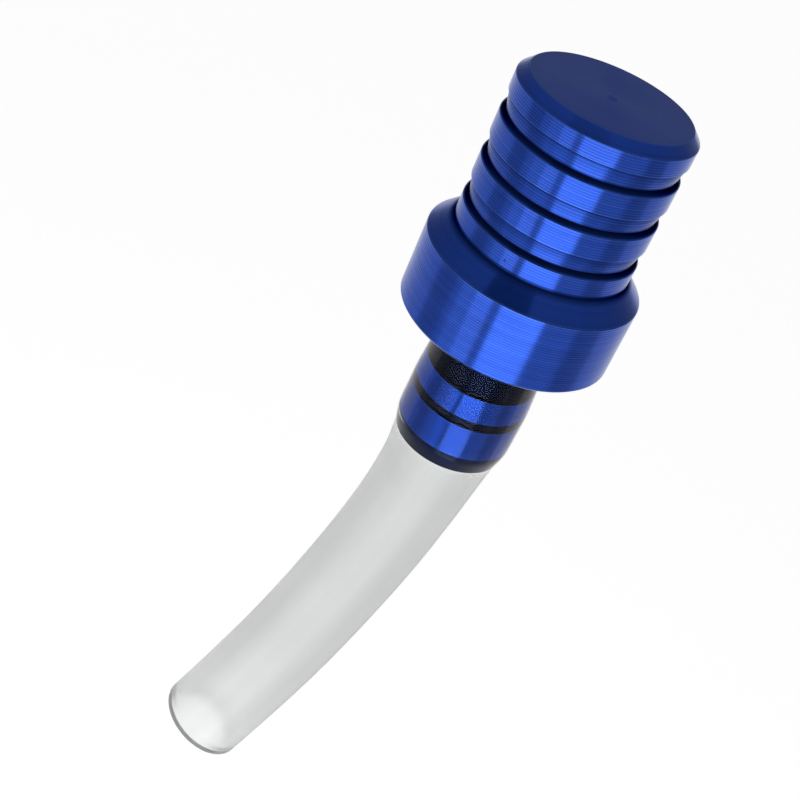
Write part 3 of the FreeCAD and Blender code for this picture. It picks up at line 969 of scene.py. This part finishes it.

# The fourth numbers are painted shade: the barb's nose, its groove, the neck under the skirt and
# the flange's underside are painted dark.
stem_outline = [
    (DUCT_RAD, NOSE_LOW, FINE),
    (NOSE_RAD, NOSE_LOW, SMALL, 0.85),
    (BARB_RAD - 0.03, BARB_EDGE - 0.08, 0, 0.8),
    (BARB_RAD, BARB_EDGE, FINE),
    (BARB_RAD, BARB_GROOVE_LOW, FINE),
    (BARB_GROOVE_RAD, BARB_GROOVE_LOW, FINE, 0.95),
    (BARB_GROOVE_RAD, BARB_GROOVE_TOP, FINE, 0.95),
    (BARB_RAD, BARB_GROOVE_TOP, FINE),
    (SHOULDER_RAD, SHOULDER, SMALL),
    (NECK_RAD, SHOULDER, FINE, 0.95),
    (NECK_RAD, FLANGE_LOW, FINE, 0.95),
    (FLANGE_RAD, FLANGE_LOW, SMALL, 0.6),
    (FLANGE_RAD, FLANGE_TOP, FINE),
    (RING_OUT_RAD, FLANGE_TOP, FINE),
    (RING_OUT_RAD, RING_LOW, 0),
    (RING_IN_RAD, RING_LOW, 0),
    (RING_IN_RAD, FLANGE_TOP, FINE),
    (TOWER_RAD, FLANGE_TOP, FINE),
    (TOWER_RAD, TOWER_TOP, SMALL),
    (POCKET_RAD, TOWER_TOP, FINE),
    (POCKET_RAD, POCKET_LOW, 0),
    (CAGE_RAD, POCKET_LOW, FINE),
    (CAGE_RAD, CAGE_LOW, 0),
    (DUCT_RAD, CAGE_LOW, FINE),
]
stem_drill = {"Middle": AXIS + Vector((0, 0, DRILL_MIDDLE * MM)), "Material": stem_finish}
stem = turned_piece("stem", stem_outline, stem_finish, more=[(drilling, stem_drill)])
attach(stem, "housing")
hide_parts("barb_stem")

# %% [markdown]
# ## Inner pieces
#
# These keep their CAD meshes, which are right as they are, and only get a finish.

# %% Finish the inner pieces
INNER = {
    "valve_seat": seat_finish,
    "seat_o_ring": rubber_finish,
    "flange_o_ring": rubber_finish,
    "check_ball": ball_finish,
    "filter_sleeve": foam_finish,
    "ball_spring": spring_finish,
}
for node, finish in INNER.items():
    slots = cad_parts[node].data.materials
    slots.clear()
    slots.append(finish)
print("inner pieces:", ", ".join(INNER))

# %% [markdown]
# ## Floor and light
#
# The valve hangs above a plain pale floor, so that no shadow crosses it. The floor
# itself glows a little, as a light table does, and that is what the round sides
# mirror.

# %% Floor
FLOOR_HIGH = -120 * MM
FLOOR_HALF = 3.0
FLOOR_GLOW = 0.58

floor_finish, tree, bsdf = new_material("pale_floor")
bsdf.inputs["Base Color"].default_value = grey(0.9)
bsdf.inputs["Roughness"].default_value = 0.8
bsdf.inputs["Emission Color"].default_value = grey(1)
bsdf.inputs["Emission Strength"].default_value = FLOOR_GLOW
floor_mesh = bpy.data.meshes.new("floor")
floor_corners = [
    (x * FLOOR_HALF, y * FLOOR_HALF, FLOOR_HIGH) for x, y in ((-1, -1), (1, -1), (1, 1), (-1, 1))
]
floor_mesh.from_pydata(floor_corners, [], [(0, 1, 2, 3)])
floor_mesh.materials.append(floor_finish)
floor = bpy.data.objects.new("floor", floor_mesh)
bpy.context.collection.objects.link(floor)
print("floor at", round(FLOOR_HIGH / MM), "mm")

# %% [markdown]
# Round turned metal mirrors a lamp as a bright stripe down its side. A tall lamp
# stands low and a little to the right, for the main stripe, and two small ones to
# the left give a softer one.

# %% Lamps
def lamp(name, place, aim, size, watts):
    """A flat lamp of that width and height in metres, hidden from the camera."""
    data = bpy.data.lights.new(name, "AREA")
    data.shape = "RECTANGLE"
    data.size, data.size_y = size
    data.energy = watts
    thing = bpy.data.objects.new(name, data)
    thing.location = place * MM
    gaze = (aim - place).normalized()
    thing.rotation_euler = gaze.to_track_quat("-Z", "Y").to_euler()
    thing.visible_camera = False
    bpy.context.collection.objects.link(thing)
    return thing


HEAD_MIDDLE = AXIS / MM + Vector((0, 0, 58))
LOW_AIM = HEAD_MIDDLE - Vector((0, 0, 74))


def around(turn, down, distance):
    """A place seen from the head that many degrees round from the front, and below it."""
    turn, down = math.radians(turn), math.radians(down)
    way = Vector((math.sin(turn), -math.cos(turn), -math.tan(down)))
    return HEAD_MIDDLE + way * distance


lamp("stripe_lamp", around(13, 38, 95), LOW_AIM, (0.077, 0.13), 0.074)
lamp("left_lamp", around(-27, 26, 174), HEAD_MIDDLE, (0.055, 0.06), 0.021)
lamp("far_left_lamp", around(-44, 26, 174), HEAD_MIDDLE, (0.05, 0.06), 0.006)
print("lamps:", len(bpy.data.lights))

# %% [markdown]
# Cards stand round the valve too. Two pale cards dull the mirrored floor at the
# sides, which gives the round metal darker flanks, and a small black one above the
# front darkens the flare. The camera doesn't see them, and they throw no shadow.

# %% Cards
def card(name, place, size, shade):
    """A flat card, its place and size in millimetres, seen only in mirror surfaces."""
    wide, tall = (value / 2 for value in size)
    mesh = bpy.data.meshes.new(name)
    gaze = (HEAD_MIDDLE - place).normalized()
    turn = gaze.to_track_quat("Z", "Y").to_matrix()
    corners = ((-wide, -tall), (wide, -tall), (wide, tall), (-wide, tall))
    spots = [(place + turn @ Vector((x, y, 0))) * MM for x, y in corners]
    mesh.from_pydata(spots, [], [(0, 1, 2, 3)])
    material, tree, bsdf = new_material(name)
    bsdf.inputs["Base Color"].default_value = grey(shade)
    bsdf.inputs["Roughness"].default_value = 0.9
    bsdf.inputs["Specular IOR Level"].default_value = 0.1
    mesh.materials.append(material)
    thing = bpy.data.objects.new(name, mesh)
    bpy.context.collection.objects.link(thing)
    thing.visible_camera = False
    thing.visible_shadow = False
    thing.visible_diffuse = False


card("left_card", around(-74, 26, 174), (80, 150), 0.9)
card("right_card", around(86, 26, 174), (90, 150), 0.9)
card("front_card", Vector((3, -36, 115)), (46, 18), 0.02)
print("stage set")

# %% [markdown]
# The room above is plain, a little darker near the horizon than overhead. The plain
# view keeps the blue as deep as it is.

# %% World
HORIZON_LIGHT = 0.34
OVERHEAD_LIGHT = 0.5

world = bpy.data.worlds.new("studio")
world.use_nodes = True
tree = world.node_tree
way = add_node(tree, "ShaderNodeTexCoord")
split = add_node(tree, "ShaderNodeSeparateXYZ")
tree.links.new(way.outputs["Generated"], split.inputs["Vector"])
tree.links.new(
    map_range(tree, split.outputs["Z"], 0.3, 0.9, HORIZON_LIGHT, OVERHEAD_LIGHT),
    tree.nodes["Background"].inputs["Strength"],
)
tree.nodes["Background"].inputs["Color"].default_value = grey(1)
bpy.context.scene.world = world
bpy.context.scene.view_settings.view_transform = "Standard"
print("room light", HORIZON_LIGHT, "to", OVERHEAD_LIGHT)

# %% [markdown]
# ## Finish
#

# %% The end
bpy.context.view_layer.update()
